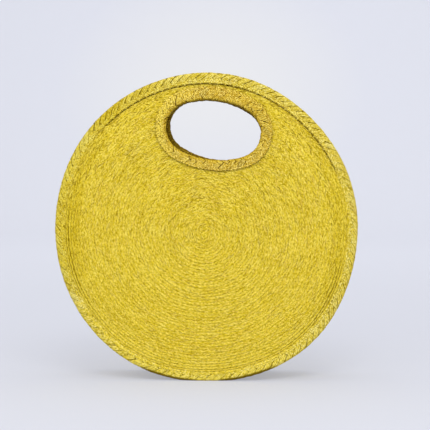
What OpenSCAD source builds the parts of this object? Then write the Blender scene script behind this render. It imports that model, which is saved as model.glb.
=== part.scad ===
// Round plaited palm bag. Two swelling sides of spiral-sewn braid, each bound with a wide
// folded rim braid and a folded braid round its oval hand hole, and a side of two braids
// sewn edge to edge, which runs round under both and leaves the mouth open along the top.
// +Z is up, the front faces -Y, and the origin is on the ground midway between the sides.

/* [Bag] */
// Diameter of each round side over its rim braid
disc_d = 400; // [340:5:460]
// Depth over both rim braids where the bag stands
base_depth = 96; // [84:2:120]
// Lean of each round side towards the other, in degrees
lean = 3; // [1:0.5:4]
// How far the bag has rolled round on its rims, in degrees
roll = 4.5; // [-10:0.5:10]
// Angle from the top of the bag to each end of the mouth, in degrees
mouth_angle = 60; // [45:1:70]
// Depth of the flat pressed into the rim braids where the bag stands
foot_depth = 1.5; // [1:0.1:2.5]

/* [Round sides] */
// Thickness of the spiral-sewn braid
panel_t = 3; // [2:0.25:4]
// How far a round side swells out past its sewn edge
swell = 8; // [3:0.5:11]
// Width of the band over which the swell falls away
fall_w = 31; // [24:1:45]
// Width of the groove between the swell and the rim braid
groove_w = 3; // [2:0.5:5]

/* [Rim braids] */
// Width of the rim braid on the outside
rim_w = 13.5; // [12:0.5:20]
// Width of the rim braid on the inside
rim_inner_w = 13; // [12:0.5:20]
// Thickness of the rim braid
rim_t = 2.5; // [1.5:0.25:3.5]

/* [Hand holes] */
// Width of the oval hand hole inside its braid
hole_w = 124; // [110:2:140]
// Height of the oval hand hole inside its braid
hole_h = 78; // [74:2:94]
// Radius of the hand hole's two ends
hole_end_r = 33; // [28:1:36]
// How far the front hand hole is cut askew in its round side, in degrees
front_hole_tilt = 2; // [0:1:6]
// How far the back hand hole is cut askew in its round side, in degrees
back_hole_tilt = 6; // [0:1:8]
// Width of the handle braid round the hand hole
handle_w = 14.5; // [11:0.5:18]
// Thickness of the handle braid
handle_t = 2.5; // [1.5:0.25:3]
// Gap between the handle braid and the rim braid above it
handle_gap = 5.5; // [1.5:0.5:7]

/* [Side braids] */
// Thickness of the two braids of the side
side_t = 2.5; // [2:0.25:3.5]
// How far the side folds inward along its middle seam
side_fold = 8; // [3:0.5:12]
// How far the side lies inside the fold of the rim braids
side_inset = 1; // [0.5:0.5:3]
// Length of the hem turned in at each end of the side
hem_l = 12; // [8:1:20]

/* [Hidden] */
// Clearance between pieces that are sewn together
sewn_gap = 0.2;
// Clearance between the front rim braid and the side that it leaves when the mouth opens
opening_gap = 0.3;
// Overrun of the cuts past the faces that they cut
over = 5;
// Steps along the curve where the swell falls away
fall_steps = 10;
// Facets round a full circle
$fn = 180;

disc_r = disc_d / 2;
// The rim braid's fold is a half round about the panel's edge
fold_in = panel_t / 2 + sewn_gap;
fold_out = fold_in + rim_t;
fold_r = disc_r - fold_out;
rim_edge_r = disc_r - rim_w;
rim_inner_edge_r = disc_r - rim_inner_w;
// The swell falls away inside the groove
fall_end_r = rim_edge_r - groove_w;
fall_start_r = fall_end_r - fall_w;
// The hand hole hangs under the rim braid by the width of its own braid
hole_rise = rim_edge_r - handle_gap - handle_w - hole_h / 2;
hole_end_x = hole_w / 2 - hole_end_r;
hole_side_r = (pow(hole_w / 2, 2) + pow(hole_h / 2, 2) - hole_w * hole_end_r)
    / (hole_h - 2 * hole_end_r);
hole_side_drop = hole_side_r - hole_h / 2;
// The handle braid's fold
handle_in = panel_t / 2 + sewn_gap;
handle_out = handle_in + handle_t;
// Place of each round side's middle plane on the ground, and the height of its centre
plane_y = base_depth / 2 - fold_out / cos(lean);
centre_z = disc_r * cos(lean) - foot_depth;
side_r = fold_r - side_inset;
hem_angle = hem_l / side_r * 180 / PI;

// Height of a round side's middle surface above its sewn edge, at a radius
function swell_at(r) =
    r <= fall_start_r ? swell
    : r >= fall_end_r ? 0
    : swell * (1 - pow((r - fall_start_r) / fall_w, 2));

// Radii at which the section of a round side turns, out to a given radius
function section_radii(r_out) = concat(
    [0],
    [for (i = [0 : fall_steps])
        let (r = fall_start_r + i * fall_w / fall_steps) if (r < r_out) r],
    [r_out]
);

// A round layer between two offsets from the middle surface, facing -Y
module layer(r_out, low, high) {
    radii = section_radii(r_out);
    last = len(radii) - 1;
    rotate([90, 0, 0])
        rotate_extrude()
            polygon(concat(
                [for (r = radii) [r, swell_at(r) + high]],
                [for (i = [0 : last]) [radii[last - i], swell_at(radii[last - i]) + low]]
            ));
}

// The hand hole's oval of four arcs, grown by a margin
module oval(margin) {
    reach = hole_side_r + margin;
    for (side = [-1, 1])
        translate([side * hole_end_x, 0])
            circle(hole_end_r + margin);
    intersection() {
        translate([0, -hole_side_drop]) circle(reach);
        translate([0, hole_side_drop]) circle(reach);
        polygon([
            [hole_end_x, 0],
            [hole_end_x + reach * hole_end_x / hole_side_drop, reach],
            [-hole_end_x - reach * hole_end_x / hole_side_drop, reach],
            [-hole_end_x, 0],
            [-hole_end_x - reach * hole_end_x / hole_side_drop, -reach],
            [hole_end_x + reach * hole_end_x / hole_side_drop, -reach]
        ]);
    }
}

// The oval as a block through a round side, cut askew
module oval_block(margin, tilt) {
    translate([0, 0, hole_rise])
        rotate([90, tilt, 0])
            linear_extrude(2 * (swell + handle_out + over), center = true)
                oval(margin);
}

// Stands a round side on the ground, leaning back, for the front or the back
module stand(back = false) {
    mirror([0, back ? 1 : 0, 0])
        translate([0, -plane_y, -foot_depth])
            rotate([-lean, 0, 0])
                translate([0, 0, disc_r])
                    rotate([0, roll, 0])
                        children();
}

module panel(hole_tilt) {
    difference() {
        layer(fold_r, -panel_t / 2, panel_t / 2);
        oval_block(handle_t + sewn_gap, hole_tilt);
    }
}

// A flat ring about a round side's axis, from one radius to another
module flat_ring(r_in, r_out, low, high) {
    rotate_extrude()
        translate([r_in, low])
            square([r_out - r_in, high - low]);
}

// A ring of round section about a round side's axis
module round_ring(r, height, section_r) {
    rotate_extrude()
        translate([r, height])
            circle(section_r);
}

// The rim braid in full round: a strip folded in half over the panel's edge
module rim_fold() {
    edge_r = rim_t / 2;
    difference() {
        union() {
            flat_ring(rim_edge_r + edge_r, fold_r, fold_in, fold_out);
            round_ring(rim_edge_r + edge_r, fold_in + edge_r, edge_r);
            flat_ring(rim_inner_edge_r + edge_r, fold_r, -fold_out, -fold_in);
            round_ring(rim_inner_edge_r + edge_r, -fold_in - edge_r, edge_r);
            difference() {
                round_ring(fold_r, 0, fold_out);
                flat_ring(fold_r - fold_out - over, fold_r, -fold_out - over, fold_out + over);
            }
        }
        round_ring(fold_r, 0, fold_in);
    }
}

module rim_braid(back = false) {
    difference() {
        stand(back)
            rotate([90, 0, 0])
                rim_fold();
        translate([-disc_r, -base_depth, -disc_r])
            cube([disc_d, 2 * base_depth, disc_r]);
    }
}

// The handle braid: a strip folded over the edge of the hand hole, following the swell
module handle_braid(hole_tilt) {
    difference() {
        intersection() {
            layer(fold_r, -handle_out, handle_out);
            oval_block(handle_w, hole_tilt);
        }
        difference() {
            layer(disc_r, -handle_in, handle_in);
            oval_block(handle_t, hole_tilt);
        }
        oval_block(0, hole_tilt);
    }
}

// Section of one braid of the side, from the middle seam out to the rim braid, with its
// outer face at a given radius where it meets the rim
module side_section(r, t) {
    polygon([
        [r, plane_y],
        [r - side_fold, sewn_gap / 2],
        [r - side_fold - t, sewn_gap / 2],
        [r - t, plane_y]
    ]);
}

// One braid of the side, swept round under the bag, with a hem turned in at each end
module side_sweep() {
    sweep = 360 - 2 * mouth_angle;
    rotate([0, 0, 90 + mouth_angle])
        rotate_extrude(angle = sweep)
            side_section(side_r, side_t);
    for (start = [0, sweep - hem_angle])
        rotate([0, 0, 90 + mouth_angle + start])
            rotate_extrude(angle = hem_angle)
                side_section(side_r, 2 * side_t);
}

module side_braid(back = false) {
    gap = back ? sewn_gap : opening_gap;
    difference() {
        translate([0, 0, centre_z])
            mirror([0, back ? 1 : 0, 0])
                rotate([0, roll, 0])
                    rotate([90, 0, 0])
                        side_sweep();
        stand(back)
            translate([-disc_d, -base_depth, -disc_d])
                cube([2 * disc_d, base_depth + fold_out + gap, 2 * disc_d]);
    }
}

module front_panel() { color("gold") stand() panel(front_hole_tilt); }
module back_panel() { color("gold") stand(true) panel(back_hole_tilt); }
module front_rim_braid() { color("goldenrod") rim_braid(); }
module back_rim_braid() { color("goldenrod") rim_braid(true); }
module front_handle_braid() { color("darkkhaki") stand() handle_braid(front_hole_tilt); }
module back_handle_braid() { color("darkkhaki") stand(true) handle_braid(back_hole_tilt); }
module side_braid_front() { color("khaki") side_braid(); }
module side_braid_back() { color("khaki") side_braid(true); }

front_panel();
front_rim_braid();
front_handle_braid();
side_braid_front();
side_braid_back();
back_panel();
back_rim_braid();
back_handle_braid();
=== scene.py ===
# %% [markdown]
# # A round bag of plaited palm
# The real bag has two stiff round sides. Each is one long narrow braid of palm leaf, sewn to
# itself in a spiral. A wide braid is folded over the edge of each side, another one over the
# edge of the hand hole, and two more make the side that runs round underneath.
# So the whole bag is braids. This lesson makes one short length of each braid flat on the
# table, repeats it into a long tape with an Array modifier, and lays the tape along its path.
# The CAD part is loaded first. It fixes the size and the place of everything that follows.

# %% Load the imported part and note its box
import math

import bpy
import mathutils
import numpy as np
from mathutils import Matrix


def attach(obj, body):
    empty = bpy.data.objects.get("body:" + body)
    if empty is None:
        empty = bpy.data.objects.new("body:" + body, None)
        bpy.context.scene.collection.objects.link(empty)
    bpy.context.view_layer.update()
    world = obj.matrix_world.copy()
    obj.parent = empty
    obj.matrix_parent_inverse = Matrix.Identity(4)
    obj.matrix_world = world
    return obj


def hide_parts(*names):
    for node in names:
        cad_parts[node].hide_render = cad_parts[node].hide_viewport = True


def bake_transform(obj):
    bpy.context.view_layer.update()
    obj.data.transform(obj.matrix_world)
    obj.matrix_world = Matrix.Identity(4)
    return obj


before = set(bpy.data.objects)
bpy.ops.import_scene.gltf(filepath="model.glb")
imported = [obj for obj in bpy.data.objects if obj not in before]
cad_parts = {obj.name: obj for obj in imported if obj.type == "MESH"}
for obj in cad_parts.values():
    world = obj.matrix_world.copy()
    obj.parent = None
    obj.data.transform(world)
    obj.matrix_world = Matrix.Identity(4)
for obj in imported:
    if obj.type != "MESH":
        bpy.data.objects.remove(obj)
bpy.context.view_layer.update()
MM = 0.001
print("nodes:", sorted(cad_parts))

# %% [markdown]
# ## Sizes
# These are the CAD part's own sizes in millimetres, but for the handle braid, which is woven
# 0.5 mm narrower. A braid is worked out in millimetres on the flat, which is how a plaiter
# would think of it, and turned into metres when it is laid.

# %% Sizes of the bag
DISC_R = 200.0
LEAN = math.radians(3)
ROLL = math.radians(4.5)
FOOT = 1.5
BASE_DEPTH = 96.0
PANEL_T = 3.0
SWELL = 8.0
FALL_START = 152.0
FOLD_IN = 1.7
FOLD_OUT = 4.2
FOLD_R = DISC_R - FOLD_OUT
PLANE_Y = BASE_DEPTH / 2 - FOLD_OUT / math.cos(LEAN)
CENTRE_Z = DISC_R * math.cos(LEAN) - FOOT
HOLE_RISE = 127.5
FRONT_TILT = math.radians(2)
BACK_TILT = math.radians(6)
HOLE_W = 124.0
HOLE_H = 78.0
HOLE_END_R = 33.0
HOLE_END_X = HOLE_W / 2 - HOLE_END_R
HOLE_SIDE_R = ((HOLE_W / 2) ** 2 + (HOLE_H / 2) ** 2 - HOLE_W * HOLE_END_R) \
    / (HOLE_H - 2 * HOLE_END_R)
HOLE_SIDE_DROP = HOLE_SIDE_R - HOLE_H / 2
HANDLE_W = 14.0
SIDE_R = FOLD_R - 1.0
SIDE_FOLD = 8.0
MOUTH_ANGLE = math.radians(60)
rng = np.random.default_rng(7)

# %% [markdown]
# ## How a flat point reaches its place on the bag
# A round side is drawn about its own middle: x to the right, z up and s outward. To stand it
# on the ground it is rolled round a little, leant towards the other side and moved out.
# Where the rims meet the ground the soft palm is pressed flat.

# %% Stand a round side on the ground
PRESS = 1.2


def clamp(values):
    return np.clip(values, 0, 1)


def ramp(values, start, over):
    """0 up to start and 1 beyond it, coming in over this much."""
    return clamp((values - start) / over)


def press_foot(z):
    return np.where(z > PRESS, z, PRESS * np.exp(np.minimum(z - PRESS, 0) / PRESS))


# How far the outline waves in and out, in millimetres: cosine and sine part of each wave
WAVES = ((2, -2.1, -1.0), (3, 0.0, -0.7), (4, -0.5, 0.0), (5, 0.0, 0.5), (6, 0.0, 0.4))


def out_of_round(x, z):
    """A hand-made bag isn't a true circle: it is taller than it is wide, and a little uneven."""
    angle = np.arctan2(z, x)
    share = clamp(np.hypot(x, z) / DISC_R) ** 2
    grow = -0.2
    for count, cosine, sine in WAVES:
        grow = grow + cosine * np.cos(count * angle) + sine * np.sin(count * angle)
    return 1 + share * grow / DISC_R


def spin(x, z, angle):
    """Turn points about the middle, clockwise as the front is seen."""
    return x * math.cos(angle) + z * math.sin(angle), z * math.cos(angle) - x * math.sin(angle)


def roll(x, z):
    """Roll a round side on the ground, with its uneven outline."""
    x, z = spin(x, z, ROLL)
    grown = out_of_round(x, z)
    return x * grown, z * grown


def stand(x, s, z, back=False):
    x, z = roll(x, z)
    z = z + DISC_R
    world_y = -s * math.cos(LEAN) + z * math.sin(LEAN) - PLANE_Y
    world_z = s * math.sin(LEAN) + z * math.cos(LEAN) - FOOT
    if back:
        world_y = -world_y
    return np.stack([x, world_y, press_foot(world_z)], axis=1) * MM


# %% [markdown]
# ## Small helpers for modelling
# An operator works on everything that is selected, so each step starts from nothing selected
# and picks vertices by where they are.

# %% Helpers: select, read and write a mesh
def object_mode():
    bpy.ops.object.mode_set(mode="OBJECT")


def clear_selection():
    if bpy.context.object and bpy.context.object.mode != "OBJECT":
        object_mode()
    bpy.ops.object.select_all(action="DESELECT")


def put(name, data, place=(0, 0, 0)):
    """Add a new object to the scene."""
    thing = bpy.data.objects.new(name, data)
    bpy.context.collection.objects.link(thing)
    thing.location = place
    return thing


def points(piece):
    flat = np.empty(len(piece.data.vertices) * 3)
    piece.data.vertices.foreach_get("co", flat)
    return flat.reshape(-1, 3)


def set_points(piece, places):
    piece.data.vertices.foreach_set("co", np.asarray(places, float).ravel())
    piece.data.update()


def select_none(kind):
    bpy.ops.mesh.select_mode(type=kind)
    bpy.ops.mesh.select_all(action="DESELECT")


def pick(test):
    """In edit mode, select only the vertices whose x, y, z pass the test."""
    piece = bpy.context.object
    select_none("VERT")
    object_mode()
    chosen = test(*points(piece).T)
    piece.data.vertices.foreach_set("select", np.asarray(chosen, bool))
    bpy.ops.object.mode_set(mode="EDIT")
    bpy.ops.mesh.select_mode(type="VERT")


def move(x=0.0, y=0.0, z=0.0):
    bpy.ops.transform.translate(value=(x, y, z))


def resize(x=1.0, y=1.0, z=1.0, centre=(0, 0, 0)):
    bpy.ops.transform.resize(value=(x, y, z), center_override=centre)


def rotate(angle, centre=(0, 0, 0)):
    bpy.ops.transform.rotate(value=angle, orient_axis="Z", center_override=centre)


def select_only(piece):
    clear_selection()
    piece.select_set(True)
    bpy.context.view_layer.objects.active = piece


def edit(piece):
    """Open one piece in edit mode with all of it selected."""
    select_only(piece)
    bpy.ops.object.mode_set(mode="EDIT")
    bpy.ops.mesh.select_all(action="SELECT")


def flat_grid(length, width, along, across):
    """A flat strip from x = 0, centred on y = 0, left in edit mode."""
    clear_selection()
    bpy.ops.mesh.primitive_grid_add(x_subdivisions=along, y_subdivisions=across, size=1)
    piece = bpy.context.object
    edit(piece)
    resize(length, width)
    move(x=length / 2)
    return piece


def close_ends():
    """In edit mode, close every open end of a strip with a face."""
    select_none("EDGE")
    bpy.ops.mesh.select_non_manifold()
    bpy.ops.mesh.fill_holes(sides=0)


def trim(axis, low, high):
    """In edit mode, cut away what lies outside low to high along one axis."""
    normal = [0, 0, 0]
    normal["xyz".index(axis)] = 1
    for at, below in ((low, True), (high, False)):
        bpy.ops.mesh.select_mode(type="VERT")
        bpy.ops.mesh.select_all(action="SELECT")
        bpy.ops.mesh.bisect(plane_co=[at * part for part in normal], plane_no=normal,
                            clear_inner=below, clear_outer=not below)


def use(piece, kind, **settings):
    """Add a modifier and apply it."""
    select_only(piece)
    added = piece.modifiers.new(kind.title(), kind)
    for key, value in settings.items():
        setattr(added, key, value)
    bpy.ops.object.modifier_apply(modifier=added.name)


def repeat(piece, count, step, merge):
    use(piece, "ARRAY", fit_type="FIXED_COUNT", count=count, use_relative_offset=False,
        use_constant_offset=True, constant_offset_displace=(step, 0, 0),
        use_merge_vertices=merge, merge_threshold=0.001)


def join(pieces, name):
    clear_selection()
    for piece in pieces:
        piece.select_set(True)
    bpy.context.view_layer.objects.active = pieces[0]
    bpy.ops.object.join()
    pieces[0].name = name
    pieces[0].data.name = name
    return pieces[0]


def face_outward(piece, merge=False):
    edit(piece)
    if merge:
        bpy.ops.mesh.remove_doubles(threshold=0.00001)
    bpy.ops.mesh.normals_make_consistent(inside=False)
    object_mode()
    bpy.ops.object.shade_smooth_by_angle(angle=math.radians(50))


# %% [markdown]
# ## Marks for the finishes
# A palm leaf has fibres along it and each leaf has its own tone. So every braid carries a UV
# map named strand, which runs along and across each leaf in millimetres, and three values:
# leaf, a random number for each leaf; painted_shading, painted shade up to 1 down in the
# crevices and a painted highlight at -1 on raised edges; and dye_and_shading, up to 1 where the
# palm is darker and more saturated, partly from dye and partly as painted shade, and down to -1
# where it is painted brighter.

# %% Helpers: the strand map and the marks
def corner_points(piece):
    index = np.empty(len(piece.data.loops), int)
    piece.data.loops.foreach_get("vertex_index", index)
    return points(piece)[index]


def map_strand(piece, along, across):
    layer = piece.data.uv_layers.get("strand") or piece.data.uv_layers.new(name="strand")
    layer.data.foreach_set("uv", np.stack([along, across], axis=1).ravel())


def map_flat(piece):
    """The strand map of a strip that still lies straight along x."""
    x, y, z = corner_points(piece).T
    map_strand(piece, x, y)


def mark(piece, name, values):
    """Write one value for all of the piece, or an array with one for each face or point."""
    domain = "FACE" if name == "leaf" else "POINT"
    layer = piece.data.attributes.get(name) or piece.data.attributes.new(name, "FLOAT", domain)
    spread = np.empty(len(layer.data), np.float32)
    spread[:] = values
    layer.data.foreach_set("value", spread)


def read_mark(piece, name):
    layer = piece.data.attributes[name]
    values = np.empty(len(layer.data), np.float32)
    layer.data.foreach_get("value", values)
    return values


def wander(places, spacing, size):
    """A smooth random wander along a line, the same on every run."""
    knots = int(np.max(places) / spacing) + 3
    values = rng.uniform(-size, size, knots)
    shifted = np.clip(places / spacing, 0, knots - 1.001)
    low = shifted.astype(int)
    part = shifted - low
    part = part * part * (3 - 2 * part)
    return values[low] * (1 - part) + values[low + 1] * part


# %% [markdown]
# ## The narrow braid of the round sides
# The braid is about 8 mm wide. From above it shows two rows of leaves that slant away from
# its middle, each leaf tucked under the next. One length with one leaf in each row repeats
# thousands of times, so it has to be simple: a small grid whose lines are slid into the slant
# and lifted, so that each leaf rises to an edge and drops to the next one.

# %% Model one length of the narrow braid
BRAID_W = 8.5
ROUND_PITCH = 8.1
LEAF_STEP = 3.4
LEAF_SLANT = math.radians(25)
LEAF_TOP = 0.84
GROOVE_HALF = 0.5
UNDERSIDE = -2.9
# Heights over and under the flat grid
TUCKED_END = -0.30
ROW_BACK = 0.16
MIDDLE_GROOVE = -0.30
EDGE_GROOVE = -0.40
UNDER_RIDGE = 0.25


def pick_rows(at):
    """Select the grid lines that run along the braid, at this distance from its middle."""
    pick(lambda x, y, z: np.isclose(np.abs(y), at, atol=0.01))


def narrow_length():
    unit = flat_grid(LEAF_STEP, BRAID_W, 2, 8)
    pick(lambda x, y, z: np.isclose(x, LEAF_STEP / 2))
    move(x=(LEAF_TOP - 0.5) * LEAF_STEP)
    # The grid's lines along the braid go to the sides of its grooves
    pick_rows(BRAID_W / 8)
    resize(y=GROOVE_HALF * 8 / BRAID_W)
    pick_rows(BRAID_W * 3 / 8)
    resize(y=1.12)
    # The leaf rises from under its neighbour to a free edge
    pick(lambda x, y, z: (x < 0.01) | (x > LEAF_STEP - 0.01))
    move(z=TUCKED_END)
    # The rows are round-backed, with a groove between them
    for row, rise in ((BRAID_W / 4, ROW_BACK), (0, MIDDLE_GROOVE), (BRAID_W / 2, EDGE_GROOVE)):
        pick_rows(row)
        move(z=rise)
    # Each line across the braid slides back, so that the leaves slant
    for row in sorted(set(np.round(np.abs(points(unit)[:, 1]), 3))):
        pick_rows(row)
        move(x=-row / math.tan(LEAF_SLANT))
    # The two edges are turned down and joined underneath
    pick_rows(BRAID_W / 2)
    bpy.ops.mesh.extrude_edges_move()
    resize(z=0)
    move(z=UNDERSIDE)
    bpy.ops.mesh.bridge_edge_loops(number_cuts=1)
    # Underneath, the two rows slant and meet in the middle as they do on top
    pick(lambda x, y, z: (np.abs(y) < 0.01) & (z < UNDERSIDE + 0.01))
    move(x=BRAID_W / 2 / math.tan(LEAF_SLANT), z=UNDER_RIDGE)
    object_mode()
    x, y, z = corner_points(unit).T
    along = np.abs(y) / math.sin(LEAF_SLANT)
    across = (x + np.abs(y) / math.tan(LEAF_SLANT)) * math.sin(LEAF_SLANT)
    map_strand(unit, along, across)
    return unit


unit = narrow_length()
print("narrow braid:", len(unit.data.polygons), "faces in one length")

# %% [markdown]
# ## Laying the narrow braid in a spiral
# The tape is wound from the middle outwards. Each round lies against the last, so the radius
# grows by the braid's width each turn. The surface swells outward in the middle and falls
# towards the rim; the distance is measured along that curve, so that the rounds keep their
# width on the slope. In the real bag the middle of the spiral sits a little low.

# %% The swelling surface
SPIRAL_LOW = 8.5
EDGE_R = 185.6
SLOT_W = 0.9
SLOT_DEPTH = 1.0
LEDGE_MOUTH = 0.9
LEDGE_LOW = 3.4
LAST_ROUND_R = 191.5
MOUTH_MIDDLE = math.radians(84)
MOUTH_TO = math.radians(53)
MOUTH_FADE = math.radians(12)
TUCK_W = 1.6
TUCK_LEAD = 0.4
STEEPEST = 0.6


def mouth_share(angle):
    """1 along the groove at the mouth, which reaches further down at the right, and 0 elsewhere."""
    away = np.abs((angle - MOUTH_MIDDLE + math.pi) % (2 * math.pi) - math.pi)
    return 1 - ramp(away, MOUTH_TO, MOUTH_FADE)


def low_share(angle):
    """1 at the foot of a round side, and 0 in its middle and above."""
    return clamp(-np.sin(angle) * 2 - 0.8)


def swell_at(r, angle):
    """Height of the surface over the sewn edge, down to a small ledge beside the rim."""
    mouth = mouth_share(angle)
    edge = EDGE_R - SLOT_W * mouth
    ledge = LEDGE_LOW + (LEDGE_MOUTH - LEDGE_LOW) * mouth
    fall = ramp(r, FALL_START, edge - FALL_START)
    height = SWELL + (ledge - SWELL) * fall ** 2
    # At the mouth it dips into a slot before the rim braid, elsewhere it runs on over it
    ends_at = LAST_ROUND_R + (edge - LAST_ROUND_R) * mouth
    tuck = clamp((r - ends_at + TUCK_LEAD) / TUCK_W)
    return height * (1 - tuck) - SLOT_DEPTH * mouth * tuck


radii = np.linspace(0, FOLD_R, 400)
rises = swell_at(radii, math.pi / 2)
on_curve = np.concatenate([[0], np.cumsum(np.hypot(np.diff(radii), np.diff(rises)))])
# Only the long fall stretches the rounds: the short tuck under the rim is left out
tucked = radii > EDGE_R - TUCK_LEAD
on_curve[tucked] = on_curve[tucked][0] + (radii[tucked] - radii[tucked][0])


def swell_point(x, z, h):
    """The place h above the swelling surface, over x, z."""
    r = np.maximum(np.hypot(x, z), 0.001)
    angle = np.arctan2(z, x)
    step = 0.5
    slope = (swell_at(r + step, angle) - swell_at(r - step, angle)) / (2 * step)
    slope = np.clip(slope, -STEEPEST, 0)
    scale = 1 / np.sqrt(1 + slope ** 2)
    out = -slope * scale * h
    return x + out * x / r, swell_at(r, angle) + scale * h, z + out * z / r


# %% [markdown]
# ## The path of the tape
# Two more shapes are needed: the oval of the hand hole, as a distance from its edge, and the
# spiral, which turns a place on the flat tape into a place on the round side.

# %% The hand hole and the spiral
ROUNDS_END = 194.5
SMALLEST_TURN = 7.0
HANDLE_REACH = 13.5
HANDLE_SAG = 1.6


def hole_distance(x, z, tilt):
    """How far a point is outside the hand hole's oval of four arcs, which is cut askew."""
    ax, az = np.abs(spin(x, z - HOLE_RISE, -tilt))
    at_end = (ax - HOLE_END_X) * HOLE_SIDE_DROP > az * HOLE_END_X
    end = np.hypot(ax - HOLE_END_X, az) - HOLE_END_R
    side = np.hypot(ax, az + HOLE_SIDE_DROP) - HOLE_SIDE_R
    return np.where(at_end, end, side)


def handle_reach(facing):
    """How far the handle braid's outer edge is from the oval: it is narrowest at the left."""
    return HANDLE_REACH + 0.9 * np.cos(facing) + 0.5 * np.sin(facing)


def handle_sag(facing):
    """How far its fold stands inside the oval: its own weight draws it down at the top."""
    return HANDLE_SAG * clamp(np.sin(facing))


turns = np.linspace(0, 2 * math.pi * ROUNDS_END / ROUND_PITCH, 60000)
middle = ROUND_PITCH * turns / (2 * math.pi)
speed = np.hypot(middle, SMALLEST_TURN)
tape_at = np.concatenate([[0], np.cumsum((speed[1:] + speed[:-1]) / 2 * np.diff(turns))])


def spiral_plane(u, v):
    """Where a point of the flat tape comes to lie, seen square on."""
    angle = -np.interp(u, tape_at, turns)
    at = np.interp(u, tape_at, middle)
    v = np.where(v < 0, v * np.minimum(1, at / (ROUND_PITCH / 2)), v)
    flat_r = np.maximum(at + v, 0.3)
    r = np.interp(flat_r, on_curve, radii)
    low = SPIRAL_LOW * clamp(1 - (r / EDGE_R) ** 2)
    return r * np.cos(angle), r * np.sin(angle) - low


# Waves in one turn, how far apart in mm rounds are a radian out of step, start and size
ROW_WAVES = ((5, 14, 0.3, 0.55), (11, -11, 2.0, 0.45), (19, 17, 4.0, 0.35), (31, -9, 1.0, 0.25))


def row_waves(u, v):
    """How the rounds wave in and out. Neighbours wave nearly alike, so they stay together."""
    along = np.interp(u, tape_at, turns)
    r = np.interp(u, tape_at, middle) + v
    waves = 0.0
    for count, pitch, start, size in ROW_WAVES:
        waves = waves + size * np.sin(count * along + r / pitch + start)
    return waves


# %% [markdown]
# ## One round side from one tape
# The tape is repeated from the one length, numbered leaf by leaf and cut where it crosses the
# hand hole. A small flat knot covers its beginning.

# %% Repeat the length, cut the hand hole, make the knot
ALIKE_RUN = 28.0
HOLE_CLEAR = 8.5
KNOT_SIZE = (5.2, 3.8, 1.1)


def narrow_tape(count):
    """A flat tape of count lengths, and the length that each of its faces is in."""
    tape = put("tape", unit.data.copy())
    repeat(tape, count, LEAF_STEP, merge=True)
    length_of = np.arange(len(tape.data.polygons)) // len(unit.data.polygons)
    centre = np.empty(len(tape.data.polygons) * 3)
    tape.data.polygons.foreach_get("center", centre)
    row_of = (centre.reshape(-1, 3)[:, 1] > 0).astype(int)
    # Neighbouring leaves often come from one dye bath, so stretches of a row are alike
    stretch_at = np.arange(count) * LEAF_STEP
    alike = np.stack([wander(stretch_at, ALIKE_RUN, 0.5) for row in range(2)], axis=1) + 0.5
    tones = 0.6 * rng.uniform(0, 1, (count, 2)) + 0.4 * alike
    mark(tape, "leaf", tones[length_of, row_of])
    return tape, length_of


def cut_hand_hole(tape, count, length_of, tilt):
    """Take out the lengths that are inside the hand hole, and close the cut ends."""
    half_slid = BRAID_W / 4 / math.tan(LEAF_SLANT)
    starts = (np.arange(count) + 0.5) * LEAF_STEP - half_slid
    x, z = spiral_plane(starts, np.zeros(count))
    in_hole = hole_distance(x, z, tilt) < HOLE_CLEAR
    edit(tape)
    select_none("FACE")
    object_mode()
    tape.data.polygons.foreach_set("select", in_hole[length_of])
    bpy.ops.object.mode_set(mode="EDIT")
    bpy.ops.mesh.delete(type="FACE")
    close_ends()
    object_mode()


def centre_knot():
    """The small flat knot that the braid starts from."""
    clear_selection()
    bpy.ops.mesh.primitive_uv_sphere_add(segments=24, ring_count=12, radius=1)
    knot = bpy.context.object
    edit(knot)
    resize(*KNOT_SIZE)
    rotate(math.radians(35))
    object_mode()
    x, y, z = corner_points(knot).T
    map_strand(knot, x + y, y - x)
    mark(knot, "leaf", 0.5)
    mark(knot, "painted_shading", 0)
    mark(knot, "dye_and_shading", 0)
    return knot


# %% [markdown]
# ## Painted shade, painted highlights and dye
# Where the palm is painted dark or pale, and where it is darker and more saturated, depends on
# the place on the bag. In the lower half the last rounds get painted highlights on their crowns
# and painted shade in their grooves. The painted shade is darkest beside the rim braid along the
# mouth and along the edge of the handle braid. At the two sides the palm is darker and more
# saturated, partly from dye and partly as painted shade.

# %% Mark the wear of a round side
# Radii in mm where the painted marks and the dye begin, each with the width that they come in over
DRAWN = (176, 6)
LEFT_SHADE = (172, 8)
SIDE_BAND = (162, 10)
SIDE_BAND_ENDS = (181, 6)
FOOT_LIGHT_FROM = (165, 15)
LEFT_SHADE_SHARE = 0.35


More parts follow.
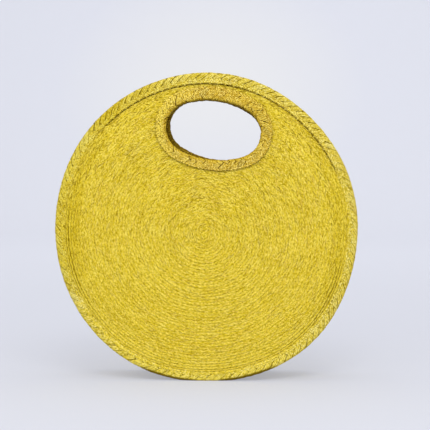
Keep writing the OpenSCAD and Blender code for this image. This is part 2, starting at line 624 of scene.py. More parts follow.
def side_wear(u, v, x, z, tilt, painted_shading, top, groove):
    """Painted shading, and dye with painted shading, of each point of a laid tape, and how far it
    is under the handle braid.
    """
    r = np.hypot(x, z)
    angle = np.arctan2(z, x)
    # In the lower half the crowns of the last rounds get a painted highlight and the grooves
    # painted shade, so that the rows stand out as pale lines
    low_down = low_share(angle)
    drawn_from = np.where(x < 0, 0.12, -0.12)
    drawn = clamp((drawn_from - np.sin(angle)) / 0.2) * (1 - 0.6 * low_down)
    drawn = drawn * ramp(r, *DRAWN)
    # Painted shade in the grooves along the left side
    left_shade = np.where(x < 0, LEFT_SHADE_SHARE, 0) * ramp(r, *LEFT_SHADE) * np.cos(angle) ** 4
    crown = top & (np.abs(np.abs(v) - BRAID_W / 4) < 0.5)
    beads = rng.uniform(0, 1, len(u))
    from_groove = np.minimum(np.abs(v), np.abs(BRAID_W / 2 - np.abs(v)))
    beside_groove = top & (from_groove > 0.1) & (from_groove < 0.8)
    painted_shading = np.where(crown, painted_shading - (0.1 + 0.9 * beads) * drawn, painted_shading)
    painted_shading = np.where(beside_groove, painted_shading + beads * np.maximum(0.9 * drawn, left_shade), painted_shading)
    painted_shading = np.where(groove, painted_shading + (0.2 + 0.9 * beads) * drawn, painted_shading)
    # Painted shade in the groove beside the rim braid along the mouth, and along the outer edge of
    # the handle braid, where the surface also dips
    beside_rim = mouth_share(angle) * clamp((r - EDGE_R + SLOT_W + 0.5) / 0.8)
    beside_rim = beside_rim * clamp(0.7 + wander(u, 3.0, 0.6))
    braid_end = handle_reach(np.arctan2(z - HOLE_RISE, x))
    to_braid = np.abs(hole_distance(x, z, tilt) - braid_end - 1.2)
    under_handle = clamp(1.6 - to_braid / 1.1) * clamp(rng.normal(0.1, 0.5, len(u)))
    under_handle = under_handle * np.where(x < 0, 1.0, 0.4)
    painted_shading = np.where(top, np.maximum(painted_shading, np.maximum(beside_rim, under_handle)), painted_shading)
    # Where the surface falls away at the two sides, more at the left, it is darker and more
    # saturated, partly from dye and partly as painted shade; along the foot it is painted brighter,
    # as light
    fall = ramp(r, *SIDE_BAND) * (1 - 0.6 * ramp(r, *SIDE_BAND_ENDS))
    side_share = np.where(x < 0, 1.0, 0.6) * np.cos(angle) ** 4
    dye_and_shading = fall * (0.15 + 0.55 * side_share) * (1 - low_down)
    dye_and_shading = dye_and_shading - 0.6 * low_down * ramp(r, *FOOT_LIGHT_FROM)
    return painted_shading, dye_and_shading, under_handle


# %% [markdown]
# ## Winding a round side
# The unevenness goes in while the tape is flat: curled free edges, small pits and grooves that
# gape. Then every point is moved to its place in the spiral and stood on the ground.

# %% Wind both round sides
KNOT_LENGTH = 90.0
CURL = 0.12
GROOVE_RUN = 2.6
GAPE_DROP = 0.9
PIT_DROP = 0.35
LAP_RISE = 0.35
LAP_SPREAD = 1.1


def wind_panel(name, tilt, back):
    count = int(tape_at[-1] / LEAF_STEP)
    tape, length_of = narrow_tape(count)
    cut_hand_hole(tape, count, length_of, tilt)
    u, v, h = points(tape).T
    top = h > UNDERSIDE / 2
    sheared = (u + np.abs(v) / math.tan(LEAF_SLANT)) / LEAF_STEP
    which = np.clip((sheared + 0.001).astype(int), 0, count - 1)
    row = (v > 0).astype(int)
    free_edge = np.abs(sheared % 1 - LEAF_TOP) < 0.05
    in_middle = top & (np.abs(v) < 0.01)
    at_edge = np.abs(v) > BRAID_W / 2 - 0.01
    low_edge = at_edge & ~top
    groove = in_middle | (at_edge & top)
    tucked_end = top & ~in_middle & ~at_edge & ~free_edge
    # The upper half is rougher. Free edges curl up by chance, and get a painted highlight where
    # they do
    rough = 0.75 - 0.35 * np.sin(np.interp(u, tape_at, turns))
    curl = np.where(free_edge, rng.normal(0, CURL, (count, 2))[which, row], 0)
    curl = rough * (curl + np.where(free_edge, rng.normal(0, CURL, len(u)), 0))
    painted_shading = np.where(free_edge, -clamp(curl * 4), 0.0)
    # Where a leaf comes out from under its neighbour there is a small pit, here and there, painted
    # dark as shade
    pit = np.where(tucked_end, clamp(rng.normal(0.15, 0.5, len(u))), 0) * rough
    painted_shading = np.where(tucked_end, 0.1 + 0.9 * pit, painted_shading)
    # The grooves are painted dark as shade. Here and there they deepen and their painted shade
    # grows darker, into short dark strokes
    deep = np.zeros(len(u))
    for line in (in_middle, at_edge & (v > 0), at_edge & (v < 0)):
        deep[line] = (rough * clamp(wander(u, GROOVE_RUN, 1.0) * 2.2 - 0.65))[line]
    painted_shading = np.where(groove, 0.95 - 0.55 * rough + 0.5 * deep, painted_shading)
    # The very middle is a flat knot
    painted_shading = np.where(top, painted_shading, 0.4) * clamp(u / KNOT_LENGTH)
    h = np.where(top, h + curl - deep * GAPE_DROP - pit * PIT_DROP, h)
    v = np.where(at_edge & top, v * (1 - 0.07 * deep), v)
    # Underneath, each round laps a little over the next, so that no daylight comes between
    h = np.where(low_edge & (v < 0), h + LAP_RISE, h)
    v = np.where(low_edge, v * LAP_SPREAD, v)
    askew = 0.04 * v
    side_step = rough ** 2 * (row_waves(u, v) + wander(u, 5.0, 0.2))
    rise = wander(u, 30.0, 0.22)
    x, z = spiral_plane(np.clip(u, 0, tape_at[-1]), v + side_step)
    # Away from the mouth, what reaches past the last round's place is folded under it
    r = np.hypot(x, z)
    at_mouth = mouth_share(np.arctan2(z, x)) > 0
    kept = np.where(at_mouth, r, np.minimum(r, LAST_ROUND_R + 0.4))
    x, z = x * kept / r, z * kept / r
    painted_shading, dye_and_shading, under_handle = side_wear(u, v, x, z, tilt, painted_shading, top, groove)
    mark(tape, "painted_shading", painted_shading)
    mark(tape, "dye_and_shading", dye_and_shading)
    h = PANEL_T / 2 + h + askew + rise - under_handle * 0.6
    set_points(tape, stand(*swell_point(x, z, h), back))
    knot = centre_knot()
    x, z, h = points(knot).T
    set_points(knot, stand(*swell_point(x, z - SPIRAL_LOW, PANEL_T / 2 + h - 0.3), back))
    tape = join([tape, knot], name)
    face_outward(tape)
    return tape


front_panel = wind_panel("front_spiral_braid", FRONT_TILT, back=False)
back_panel = wind_panel("back_spiral_braid", BACK_TILT, back=True)
bpy.data.objects.remove(unit)
print("spiral tape:", round(tape_at[-1] / 1000, 2), "m,",
      len(front_panel.data.polygons), "faces")

# %% [markdown]
# ## The wide braids
# A wide braid is woven on the slant: one set of leaves runs up to the right, the other down
# to the right, and each passes over two and under two. That is what gives the long slits and
# the zigzag rows along the rim. Each leaf is modelled flat with its rise and dip, turned to
# its slant, trimmed to the braid's edges and given thickness. A plain core underneath keeps
# daylight from showing through, and short scales cover the edges where the leaves turn back.

# %% Model one length of a wide braid
CORE_T = 1.5
CORE_INSET = 0.6
LEAF_INSET = 0.4
WEAVE_H = 2.15
LEAF_T = 0.45
LEAF_FILL = 0.91
WAVE = 0.36
CROWN = 0.2


def leaf_strip(width, braid_w, over_from, cell, climbs):
    """One leaf across the braid. It is over where it is in its own row, under elsewhere."""
    length = braid_w * math.sqrt(2) + 2 * width
    strips = int(round(length / cell))
    leaf = flat_grid(length, width * LEAF_FILL, strips, 4)

    def over(x):
        # distance along the leaf from the start of its row, in runs of over and under
        return ((x - width - over_from * math.sqrt(2)) / (2 * width)) % 2 < 1

    edge = 0.13 * width

    def well_over(x):
        return over(x - edge) & over(x + edge)

    def well_under(x):
        return ~over(x - edge) & ~over(x + edge)

    pick(lambda x, y, z: well_over(x))
    move(z=WAVE)
    pick(lambda x, y, z: well_under(x))
    move(z=-WAVE)
    pick(lambda x, y, z: np.abs(y) < 0.3 * width)
    move(z=CROWN)
    object_mode()
    x, y, z = points(leaf).T
    # Painted shade: dark where the leaf passes under the others and where it dips, lighter at its
    # edges where it is over
    at_side = np.where(np.abs(y) > 0.4 * width, 0.45, 0.0)
    mark(leaf, "painted_shading", np.where(well_over(x), at_side, np.where(well_under(x), 1.0, 0.7)))
    map_flat(leaf)
    edit(leaf)
    move(x=-width)
    rotate(math.radians(-45 if climbs else 45))
    if not climbs:
        move(y=braid_w)
    trim("y", LEAF_INSET, braid_w - LEAF_INSET)
    object_mode()
    use(leaf, "SOLIDIFY", thickness=LEAF_T, offset=0)
    return leaf


def edge_scale(step, braid_w, wide, turned, far_edge):
    """A short leaf that lies along the braid's edge and laps over the next one."""
    long = step * 1.3
    scale = flat_grid(long, wide, 4, 3)
    middle_of = (long / 2, 0, 0)
    pick(lambda x, y, z: np.abs(y) > wide * 0.48)
    resize(x=0.86, centre=middle_of)
    # It comes out from under its neighbour and rises to its free end
    for part, rise in ((0.3, 0.22), (0.5, 0.2), (0.7, 0.16), (0.85, 0.1)):
        pick(lambda x, y, z: x > part * long)
        move(z=rise)
    pick(lambda x, y, z: y < -0.2 * wide)
    move(z=-0.4)
    pick(lambda x, y, z: y < -0.48 * wide)
    move(y=0.15 * wide, z=-1.3)
    pick(lambda x, y, z: y > 0.48 * wide)
    move(z=-0.3)
    object_mode()
    x, y, z = points(scale).T
    # Painted shade where the scale comes out from under its neighbour
    mark(scale, "painted_shading", clamp(0.5 - x / step * 1.6))
    map_flat(scale)
    edit(scale)
    rotate(turned, middle_of)
    move(y=0.38 * wide, z=WEAVE_H + WAVE)
    if far_edge:
        resize(y=-1, centre=(0, braid_w / 2, 0))
    object_mode()
    use(scale, "SOLIDIFY", thickness=LEAF_T, offset=0)
    return scale


def core_strip(step, braid_w):
    core = flat_grid(step, braid_w - 2 * CORE_INSET, 3, 26)
    move(y=braid_w / 2)
    object_mode()
    map_flat(core)
    edit(core)
    pick(lambda x, y, z: (y < CORE_INSET + 0.1) | (y > braid_w - CORE_INSET - 0.1))
    bpy.ops.mesh.extrude_edges_move()
    move(z=CORE_T)
    bpy.ops.mesh.bridge_edge_loops()
    object_mode()
    return core


# %% [markdown]
# ## Weaving a tape
# Each kind of leaf is modelled once and repeated along the tape. Then every copy gets a tone of
# its own and a painted shade a little darker or lighter than its neighbours', and is moved a
# hair's breadth.

# %% Weave a flat length of wide braid
def weave(name, count, step, braid_w, row_from, cell, scale_w=5.2, scale_turn=0.0, uneven=0.3,
          ends=None):
    """A flat wide braid along x, from y = 0 to braid_w; the climbing leaves show from row_from.
    With ends, it is cut square there and its cut leaves are closed."""
    width = step / math.sqrt(2)
    climbing = leaf_strip(width, braid_w, row_from, cell, climbs=True)
    falling = leaf_strip(width, braid_w, braid_w - row_from - 2 * step, cell, climbs=False)
    shift = (2 * row_from + step / 2 - braid_w) % step
    set_points(falling, points(falling) + np.array([shift, 0, 0]))
    near = edge_scale(step / 2, braid_w, scale_w, scale_turn, far_edge=False)
    far = edge_scale(step / 2, braid_w, scale_w, scale_turn, far_edge=True)
    for leaf in (climbing, falling):
        set_points(leaf, points(leaf) + np.array([0, 0, WEAVE_H]))
    for piece, times in ((climbing, 1), (falling, 1), (near, 2), (far, 2)):
        each = len(piece.data.vertices)
        faces_each = len(piece.data.polygons)
        copies = count * times
        repeat(piece, copies, step / times, merge=False)
        mark(piece, "leaf", np.repeat(rng.uniform(0, 1, copies), faces_each))
        # No two leaves lie quite alike, and the painted shade of some is darker than of others
        shade_strength = np.repeat(rng.uniform(0.15, 1.15, copies), each)
        mark(piece, "painted_shading", read_mark(piece, "painted_shading") * shade_strength)
        places = points(piece)
        places[:, 2] += np.repeat(rng.normal(0, uneven * 0.3, copies), each)
        places[:, 0] += np.repeat(rng.normal(0, uneven, copies), each)
        set_points(piece, places)
    core = core_strip(step, braid_w)
    # The core shows only through the gaps, and is painted as shade all over
    mark(core, "painted_shading", 1)
    repeat(core, count, step, merge=True)
    mark(core, "leaf", 0.5)
    if ends:
        for piece in (climbing, falling, near, far, core):
            edit(piece)
            trim("x", *ends)
            close_ends()
            object_mode()
    braid = join([climbing, falling, near, far, core], name)
    print(name, "is", round(count * step / 10, 1), "cm long,", len(braid.data.polygons), "faces")
    return braid


# %% [markdown]
# ## The stitches
# Short strips of palm cross the groove between the round side and the rim braid.

# %% Model a row of stitches
STITCH_ALONG = 1.9
STITCH_ACROSS = 3.6
STITCH_T = 0.5


def stitch_row(count, step):
    """Stitches of palm strip that cross from the round side, at y < 0, to the rim braid."""
    stitch = flat_grid(STITCH_ALONG, STITCH_ACROSS, 2, 6)
    pick(lambda x, y, z: np.isclose(x, STITCH_ALONG / 2))
    move(z=0.25)
    bpy.ops.mesh.select_all(action="SELECT")
    move(y=-0.4, z=3.0)
    for low, high, drop in ((-3.0, -2.0, -2.7), (-2.0, -1.4, -1.4), (-1.4, -0.8, -0.5),
                            (1.2, 3.0, -0.5)):
        pick(lambda x, y, z: (y > low) & (y < high))
        move(z=drop)
    object_mode()
    x, y, z = corner_points(stitch).T
    map_strand(stitch, y, x)
    mark(stitch, "painted_shading", 0)
    use(stitch, "SOLIDIFY", thickness=STITCH_T, offset=-1)
    each = len(stitch.data.vertices)
    faces_each = len(stitch.data.polygons)
    repeat(stitch, count, step, merge=False)
    mark(stitch, "leaf", np.repeat(rng.uniform(0, 1, count), faces_each))
    places = points(stitch)
    places[:, 0] += np.repeat(rng.normal(0, 0.6, count), each)
    set_points(stitch, places)
    return stitch


# %% [markdown]
# ## The rim braids
# The wide braid is folded in half over the edge of the round side and sewn through. Its front
# leaf is flat, it turns in a half round about the edge, and lies back inside. The flat braid's
# width runs round that fold, and its length runs round the bag.

# %% Lay the rim braids
RIM_IN_R = 186.5
RIM_BACK_R = 187.0
RIM_STEPS = 112
RIM_MEAN_R = 192.0
RIM_SLANT = 0.33
FOOT_X = 3.0
FOOT_SHADE_FROM = (12, 8)
FOOT_SHADE_TO = (95, 25)


def fold_round(v, h, front_w):
    """Across a folded braid: how far past the fold's middle, and how far out from it."""
    turn = np.clip((v - front_w) / FOLD_OUT, 0, math.pi)
    past = np.where(v < front_w, v - front_w,
                    np.where(turn < math.pi, 0, front_w + math.pi * FOLD_OUT - v))
    height = FOLD_IN + h
    return past + height * np.sin(turn), height * np.cos(turn)


def lay_rim(name, back):
    front_w = FOLD_R - RIM_IN_R
    braid_w = front_w + math.pi * FOLD_OUT + FOLD_R - RIM_BACK_R
    step = 2 * math.pi * RIM_MEAN_R / RIM_STEPS
    braid = weave(name, RIM_STEPS, step, braid_w, row_from=4.4, cell=1.7)
    braid = join([braid, stitch_row(RIM_STEPS, step)], name)
    u, v, h = points(braid).T
    # Sewn on round a curve, the braid is dragged a little askew
    u = u + RIM_SLANT * v
    out, s = fold_round(v, h, front_w)
    angle = math.pi / 2 - 2 * math.pi * u / (RIM_STEPS * step)
    # Along the mouth the painted shade in the slits is darkest, and lower down it is lighter. The
    # braid is darker towards the left, and along the foot it is painted brighter, as light
    mouth = mouth_share(angle)
    low_down = low_share(angle)
    painted_shading = read_mark(braid, "painted_shading") * (0.65 + 0.35 * mouth)
    to_left = clamp(-np.cos(angle))
    mark(braid, "dye_and_shading", mouth * clamp(0.2 + 1.6 * to_left ** 2)
         + (1 - mouth) * (0.15 + 0.6 * to_left ** 3) * (1 - low_down) - low_down)
    r = FOLD_R + out
    places = stand(r * np.cos(angle), s, r * np.sin(angle), back)
    set_points(braid, places)
    # Beside the spot it stands on, the underside of the fold is painted dark, as shade
    aside = np.abs(places[:, 0] / MM - FOOT_X)
    beside_foot = ramp(aside, *FOOT_SHADE_FROM) * clamp((FOOT_SHADE_TO[0] - aside) / FOOT_SHADE_TO[1])
    ragged = 0.8 + wander(angle * RIM_MEAN_R, 2.5, 1.2)
    under = beside_foot * ramp(out, ragged, 1.2) * (places[:, 2] / MM < 30)
    mark(braid, "painted_shading", np.maximum(painted_shading, 1.4 * under))
    face_outward(braid, merge=True)
    return braid


front_rim = lay_rim("front_rim_weave", back=False)
back_rim = lay_rim("back_rim_weave", back=True)

# %% [markdown]
# ## The handle braids
# The hand hole is an oval of four arcs. Its braid is folded over the edge in the same way, and
# follows the swell of the round side. A point of the oval is found from the direction that it
# faces, because that turns evenly through all four arcs.

# %% Lay the handle braids
HANDLE_STEPS = 46
HANDLE_MEAN = 8.0

facing = np.linspace(0, 2 * math.pi, 2881)
end_turn = math.atan2(HOLE_SIDE_DROP, HOLE_END_X)
to_end = np.abs((facing + math.pi / 2) % math.pi - math.pi / 2) < end_turn
arc_r = np.where(to_end, HOLE_END_R, HOLE_SIDE_R)
arc_x = np.where(to_end, HOLE_END_X * np.sign(np.cos(facing)), 0)
arc_z = np.where(to_end, 0, -HOLE_SIDE_DROP * np.sign(np.sin(facing)))
oval_x = arc_x + arc_r * np.cos(facing)
oval_z = arc_z + arc_r * np.sin(facing)
oval_at = np.concatenate([[0], np.cumsum((arc_r[1:] + HANDLE_MEAN) * np.diff(facing))])


def lay_handle(name, tilt, back):
    front_w = HANDLE_W - FOLD_OUT
    braid_w = 2 * front_w + math.pi * FOLD_OUT
    step = oval_at[-1] / HANDLE_STEPS
    braid = weave(name, HANDLE_STEPS, step, braid_w, row_from=1.5, cell=1.3, scale_w=3.8,
                  scale_turn=math.radians(28), uneven=0.6)
    u, v, h = points(braid).T
    past, s = fold_round(v, h, front_w)
    along = u % oval_at[-1]
    face = np.interp(along, oval_at, facing)
    sag = handle_sag(face)
    spread = (handle_reach(face) + sag - FOLD_OUT) / front_w
    out = FOLD_OUT - sag - past * np.where(past < 0, spread, 1)
    flat_x = np.interp(along, oval_at, oval_x) + out * np.cos(face)
    flat_z = np.interp(along, oval_at, oval_z) + out * np.sin(face)
    x, z = spin(flat_x, flat_z, tilt)
    # Where the fold turns in towards the bag's inside it is painted darker and more saturated, as
    # shade
    # Outside, it is brightest at the left and darkest at the upper right
    brightening = 0.9 * clamp(-np.cos(face)) - 0.5 * clamp(np.cos(face - math.pi / 4)) ** 2
    dye_and_shading = np.where(v > front_w, clamp((v - front_w) / FOLD_OUT), -brightening)
    mark(braid, "dye_and_shading", dye_and_shading)
    # The inner part of the fold is painted dark, as shade, and at the top of the hole, on its
    # underside, the shade begins sooner
    at_top = 0.9 * clamp(np.sin(face))
    inside = np.clip((v - front_w) / FOLD_OUT - 1.2 + at_top, 0, 0.7)
    mark(braid, "painted_shading", np.maximum(read_mark(braid, "painted_shading"), inside))
    set_points(braid, stand(*swell_point(x, z + HOLE_RISE, s), back))
    face_outward(braid, merge=True)
    return braid


front_handle = lay_handle("front_handle_weave", FRONT_TILT, back=False)
back_handle = lay_handle("back_handle_weave", BACK_TILT, back=True)

# %% [markdown]
# ## The side
# Two more lengths of wide braid run round under the bag, edge to edge, with a hem turned in
# at the two ends of the mouth. They fold inward a little along their middle seam.

# %% Lay the two side braids
SIDE_W = 39.0
SIDE_T = 2.5
SIDE_SINK = 2.9
SIDE_STEPS = 76
HEM = 12.0
HEM_R = 2.0
HEM_STEPS = 6
SEAM_GAP = 0.1
OPENING_GAP = 0.3


def lay_side(name, back):
    sweep = 2 * math.pi - 2 * MOUTH_ANGLE
    length = sweep * SIDE_R
    step = length / SIDE_STEPS
    before = HEM_STEPS * step
    # The braid is cut square at both ends, with enough left over for the hems
    ends = (before - HEM, before + length + HEM)
    braid = weave(name, SIDE_STEPS + 2 * HEM_STEPS, step, SIDE_W, row_from=6.0, cell=1.9,
                  ends=ends)
    set_points(braid, points(braid) - np.array([before, 0, 0]))
    u, v, h = points(braid).T
    # The hem turns in over a small half round and lies back under the braid
    over = np.maximum(-u, u - length)
    turn = np.clip(over / HEM_R, 0, math.pi)
    back_run = np.maximum(over - HEM_R * math.pi, 0)
    along = np.where(over > 0, HEM_R * np.sin(turn) - back_run + (h - SIDE_T) * np.sin(turn), 0)
    height = np.where(over > 0, (h + HEM_R) * np.cos(turn) - HEM_R, h)
    place = np.clip(u, 0, length) + np.where(u < length / 2, -along, along)
    angle = math.pi / 2 + MOUTH_ANGLE + place / SIDE_R
    # Across it runs from the middle seam to just inside the rim, which leans
    across = np.clip((v - LEAF_INSET) / (SIDE_W - 2 * LEAF_INSET), -0.02, 1.02)
    x = SIDE_R * np.cos(angle)
    z = SIDE_R * np.sin(angle)
    rim_z = spin(x, z, ROLL)[1] + DISC_R
    rim_y = PLANE_Y - (FOLD_OUT + OPENING_GAP) * math.cos(LEAN) - rim_z * math.sin(LEAN)
    y = SEAM_GAP + across * (rim_y - SEAM_GAP)
    r = SIDE_R - SIDE_FOLD * (1 - across) + height - SIDE_SINK
    x, z = roll(r * np.cos(angle), r * np.sin(angle))
    places = np.stack([x, y if back else -y, press_foot(z + CENTRE_Z)], axis=1) * MM
    set_points(braid, places)
    mark(braid, "dye_and_shading", 0.3)
    face_outward(braid)
    return braid


front_side = lay_side("front_side_weave", back=False)
back_side = lay_side("back_side_weave", back=True)

# %% [markdown]
# ## Shader maths as plain sums
# A material is a graph of nodes. Wire stands for one socket, so that a sum or product of two
# can be written as such. Finish makes a material and adds its nodes.

# %% The shader helper
class Wire:
    def __init__(self, finish, socket):
        self.finish = finish
        self.socket = socket

    def maths(self, operation, other):
        return self.finish.add("Math", {0: self, 1: other}, operation=operation)

    def __add__(self, other):
        return self.maths("ADD", other)

    def __sub__(self, other):
        return self.maths("SUBTRACT", other)

    def __mul__(self, other):
        return self.maths("MULTIPLY", other)


class Finish:
    def __init__(self, name):
        self.material = bpy.data.materials.new(name)
        self.material.use_nodes = True
        self.tree = self.material.node_tree
        self.shader = self.tree.nodes["Principled BSDF"]
        self.output = self.tree.nodes["Material Output"]

    def fill(self, node, sockets):
        for key, value in sockets.items():
            if isinstance(value, Wire):
                self.tree.links.new(value.socket, node.inputs[key])
            else:
                node.inputs[key].default_value = value

    def add(self, kind, sockets=None, out=0, **settings):
        node = self.tree.nodes.new("ShaderNode" + kind)
        for key, value in settings.items():
            setattr(node, key, value)
        self.fill(node, sockets or {})
        return Wire(self, node.outputs[out])

    def mark(self, name):
        return self.add("Attribute", out="Fac", attribute_name=name)

    def noise(self, vector, scale, detail=2.0, roughness=0.5):
        return self.add("TexNoise", {"Vector": vector, "Scale": scale, "Detail": detail,
                                     "Roughness": roughness})

    def blend(self, share, first, second, how="MIX"):
        """A colour that goes from first to second as share goes from 0 to 1."""
        return self.add("Mix", {0: share, 6: first, 7: second}, out=2, data_type="RGBA",
                        blend_type=how, clamp_factor=True)

    def stretch(self, value, low, high, to_low=0.0, to_high=1.0):
        return self.add("MapRange", {"Value": value, "From Min": low, "From Max": high,
                                     "To Min": to_low, "To Max": to_high}, clamp=True)

    def vector(self, x, y, z=0.0):
        return self.add("CombineXYZ", {"X": x, "Y": y, "Z": z})

    def split(self, vector, axis):
        return self.add("SeparateXYZ", {"Vector": vector}, out=axis)


# %% [markdown]
# ## The palm finish
# Dyed palm leaf is yellow with a soft sheen. Each leaf takes the dye a little differently,
# fine fibres run along it, now and then one is tan or greenish, and the crevices are painted
# brown, as shade, with painted highlights on raised edges.
# The same finish serves every braid, with its own colours: the rim is a little paler and the
# handle a little more tan, where hands have worn it.

# %% Make the palm finishes
TANNED = (0.60, 0.37, 0.09, 1)
GREENISH = (0.42, 0.36, 0.05, 1)
FLECK = (0.25, 0.12, 0.008, 1)
SHADE = (0.27, 0.185, 0.002, 1)
SPLIT = (0.33, 0.235, 0.002, 1)
DYE_AND_SHADE_TINT = (0.88, 0.84, 0.34, 1)
BRIGHTER_YELLOW = (1.0, 0.80, 0.065, 1)
finishes = {}


def palm(name, deep, middle, pale, patch, shade, odd_share=0.05, crevice=1.0, speckle=0.2,
         strand_w=0.0, own_tone=0.3, mottle=0.4, strokes=0.95, gapes=0.25, split=SPLIT):
    f = Finish(name)
    strand = f.add("UVMap", uv_map="strand")
    along = f.split(strand, "X")
    across = f.split(strand, "Y")
    leaf = f.mark("leaf")
    painted_shading = f.mark("painted_shading")
    place = f.add("TexCoord", out="Object")
    fibres = f.noise(f.vector(along * 0.12, across * 2.2, leaf * 60), 1.0, 3.0, 0.6)
    bands = f.noise(f.vector(along * 0.10, across * 0.9, leaf * 35 + 9), 1.0, 2.0)
    patches = f.noise(place, 38.0, 3.0, 0.55)
    grain = f.noise(place, 650.0, 2.0, 0.6)
    blotch = f.noise(place, 330.0, 3.0, 0.65)
    tone = (leaf - 0.5) * own_tone + (bands - 0.5) * 0.8 + (blotch - 0.5) * mottle + 0.5
    colour = f.blend(f.stretch(tone, 0.15, 0.50), deep, middle)
    colour = f.blend(f.stretch(tone, 0.52, 0.90), colour, pale)
    colour = f.blend(f.stretch(fibres, 0.50, 0.75, 0.0, 0.5), colour, pale)
    colour = f.blend(f.stretch(fibres, 0.47, 0.27, 0.0, 0.7), colour, deep)
    colour = f.blend(f.stretch(patches, 0.45, 0.70, 0.0, 0.35), colour, patch)
    odd = (leaf * 173.0).maths("FRACT", 0.0)
    colour = f.blend(odd.maths("GREATER_THAN", 1 - odd_share) * 0.35, colour, TANNED)
    colour = f.blend(odd.maths("GREATER_THAN", 1 - odd_share / 2) * 0.4, colour, GREENISH)
    specks = f.noise(f.vector(along * 0.5, across * 1.3, leaf * 91), 1.0, 2.0, 0.7)
    colour = f.blend(f.stretch(specks, 0.56, 0.66, 0.0, speckle), colour, FLECK)
    dye_and_shading = f.mark("dye_and_shading")
    # Painted light: where the mark is below 0 the palm is painted a brighter yellow, most along the
    # foot
    colour = f.blend(f.stretch(dye_and_shading, 0.0, -1.0, 0.0, 0.65), colour, BRIGHTER_YELLOW)
    # Short strokes: frayed fibres that catch the light, and the splits between them
    fine = f.noise(f.vector(along * 0.42, across * 1.4, leaf * 77), 1.0, 1.0)
    colour = f.blend(f.stretch(fine, 0.55, 0.63, 0.0, strokes), colour, split)
    colour = f.blend(f.stretch(fine, 0.45, 0.36, 0.0, strokes), colour, pale)
    height = fibres * 0.8 + grain * 0.4 - fine
    if strand_w:
        # A wide leaf is really a few narrow ones side by side, with a line between them
        shifted = across + bands * 0.8 + strand_w / 2 - 0.4
        line = f.stretch(shifted.maths("PINGPONG", strand_w / 2), 0.0, 0.5, 1.0, 0.0)
        colour = f.blend(line * f.stretch(blotch, 0.35, 0.6, 0.2, 0.8), colour, shade)
        height = height - line * 1.2
    # Painted highlight where the mark is below 0, and painted shade in the crevices where it is
    # high
    colour = f.blend(f.stretch(painted_shading, 0.0, -1.0, 0.0, 0.55), colour, pale)
    broken = painted_shading + (fine - 0.5) * 1.1
    colour = f.blend(f.stretch(broken, gapes, gapes + 0.6) * crevice, colour, shade)
    # Where the mark is above 0 the colour is darkened and saturated, partly as dye and partly as
    # painted shade
    colour = f.blend(dye_and_shading, colour, DYE_AND_SHADE_TINT, "MULTIPLY")
    bump = f.add("Bump", {"Strength": 0.7, "Distance": 0.0004, "Height": height})
    f.fill(f.shader, {"Base Color": colour, "Roughness": f.stretch(fibres, 0.3, 0.7, 0.5, 0.68),
                      "Specular IOR Level": 0.05, "Normal": bump})
    finishes[name] = f.material


GOLD_DEEP = (0.575, 0.410, 0.008, 1)
GOLD = (0.765, 0.580, 0.018, 1)
GOLD_PALE = (0.90, 0.755, 0.15, 1)
DYE = (0.70, 0.505, 0.012, 1)
TAN = (0.72, 0.50, 0.07, 1)

palm("palm_panel", GOLD_DEEP, GOLD, GOLD_PALE, DYE, SHADE, odd_share=0.08, speckle=0.15,
     own_tone=0.6, gapes=0.33)
palm("palm_rim", (0.64, 0.475, 0.020, 1), (0.87, 0.675, 0.055, 1), (0.95, 0.86, 0.29, 1), TAN,
     (0.22, 0.15, 0.002, 1), speckle=0.35, strand_w=2.2, own_tone=0.5, mottle=0.8, strokes=0.9,
     gapes=0.15, split=(0.29, 0.20, 0.002, 1))
palm("palm_handle", (0.55, 0.33, 0.010, 1), (0.80, 0.545, 0.037, 1), (0.94, 0.77, 0.20, 1), TAN,
     (0.13, 0.072, 0.002, 1), odd_share=0.15, speckle=1.0, strand_w=1.9, own_tone=0.3, mottle=0.6,
     strokes=1.0, gapes=0.3, split=(0.25, 0.145, 0.004, 1))
palm("palm_side", GOLD_DEEP, GOLD, GOLD_PALE, TAN, SHADE, speckle=0.3, strand_w=2.6)

# %% [markdown]
# ## Putting the pieces on the CAD part
# Each braid gets its finish and takes the place of its plain CAD solid. The braids of the round
# sides and the hand hole ride on that solid's body; the two side braids ride on none.

# %% Dress, ride and replace
def dress(piece, finish):
    piece.data.materials.clear()
    piece.data.materials.append(finishes[finish])


for piece, node, slot, body in (
        (front_panel, "front_panel", "palm_panel", "front"),
        (back_panel, "back_panel", "palm_panel", "back"),
        (front_rim, "front_rim_braid", "palm_rim", "front"),
        (back_rim, "back_rim_braid", "palm_rim", "back"),
        (front_handle, "front_handle_braid", "palm_handle", "front"),
        (back_handle, "back_handle_braid", "palm_handle", "back")):
    dress(piece, slot)
    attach(piece, body)
    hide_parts(node)
for piece, node in ((front_side, "side_braid_front"), (back_side, "side_braid_back")):
    dress(piece, "palm_side")
    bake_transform(piece)
    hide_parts(node)

# %% [markdown]
# ## The floor
# A pale sheet curves up behind the bag. Nearly half of its colour is shown to the camera as it
# is, and the rest is light that falls on it, so that the bag's shadow stays but is weak.

# %% Floor and backdrop
def backdrop():
    clear_selection()
    bpy.ops.mesh.primitive_plane_add(size=1)
    sheet = bpy.context.object
    sheet.name = "backdrop"
    edit(sheet)
    resize(14, 8)
    pick(lambda x, y, z: y > 1)
    bpy.ops.mesh.extrude_edges_move()
    move(z=5)
    pick(lambda x, y, z: (y > 1) & (z < 1))
    bpy.ops.mesh.bevel(offset=1.2, segments=16, affect="EDGES")
    object_mode()
    bpy.ops.object.shade_smooth()
    return sheet


PALE = (0.74, 0.755, 0.845, 1)
PAINTED_LIGHT_POOL = (0.92, 0.905, 0.84, 1)
BEHIND_BAG = (-0.19, 4.0, 0.35)
AS_IT_IS = 0.45
sheet = backdrop()
paper = Finish("pale_paper")
paper.fill(paper.shader, {"Base Color": (0.63, 0.645, 0.70, 1), "Roughness": 0.9})
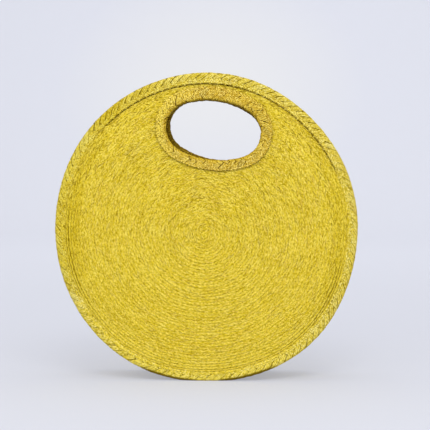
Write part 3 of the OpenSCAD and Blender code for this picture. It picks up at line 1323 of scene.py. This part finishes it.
# Behind the bag a paler patch is painted on the sheet, as a pool of light
place = paper.add("TexCoord", out="Object")
away = paper.add("VectorMath", {0: place, 1: BEHIND_BAG}, out="Value", operation="DISTANCE")
tint = paper.blend(paper.stretch(away, 0.2, 0.65), PAINTED_LIGHT_POOL, PALE)
glow = paper.add("Emission", {"Color": tint, "Strength": 1.0})
seen = paper.add("LightPath", out="Is Camera Ray")
lit = Wire(paper, paper.shader.outputs[0])
both = paper.add("MixShader", {0: seen * AS_IT_IS, 1: lit, 2: glow})
paper.fill(paper.output, {"Surface": both})
sheet.data.materials.append(paper.material)


# %% [markdown]
# ## The light
# Most of the light comes evenly from all round, as in a light tent. Large soft lamps add a
# little direction, and one of them lights the sheet behind the bag.

# %% Lamps
def soft_lamp(name, place, size, power, aim=(0, 0, 0.2)):
    data = bpy.data.lights.new(name, "AREA")
    data.shape = "RECTANGLE"
    data.size, data.size_y = size
    data.energy = power
    toward = mathutils.Vector(aim) - mathutils.Vector(place)
    put(name, data, place).rotation_euler = toward.to_track_quat("-Z", "Y").to_euler()


soft_lamp("key_lamp", (0.4, -2.1, 2.1), (1.3, 1.0), 28)
soft_lamp("fill_lamp", (-0.6, -2.3, 1.5), (1.6, 0.8), 8)
soft_lamp("top_lamp", (0, 0.3, 2.4), (2.0, 1.6), 6)
soft_lamp("wall_lamp", (0, 1.9, 2.2), (2.6, 0.8), 24, aim=(0, 4.0, 0.5))
world = bpy.data.worlds.new("soft_room")
bpy.context.scene.world = world
world.use_nodes = True
room_light = world.node_tree.nodes["Background"].inputs
room_light["Color"].default_value = (0.96, 0.96, 0.98, 1)
room_light["Strength"].default_value = 0.88
bpy.context.scene.view_settings.view_transform = "Standard"

# %% [markdown]
# ## The camera
# It stands two metres away, a little to the right, and looks down slightly, as for the photo.

# %% Camera
CAMERA_TURN = math.radians(2.8)
CAMERA_FAR = 2.0225
CAMERA_HIGH = 0.315
AIM_X = 0.0104
AIM_HIGH = 0.2137
camera_data = bpy.data.cameras.new("camera")
camera_data.lens = 128
camera = put("camera", camera_data, (AIM_X + CAMERA_FAR * math.sin(CAMERA_TURN),
                                     -CAMERA_FAR * math.cos(CAMERA_TURN), CAMERA_HIGH))
camera_down = math.atan2(CAMERA_HIGH - AIM_HIGH, CAMERA_FAR)
camera.rotation_euler = (math.pi / 2 - camera_down, 0, CAMERA_TURN)
bpy.context.scene.camera = camera
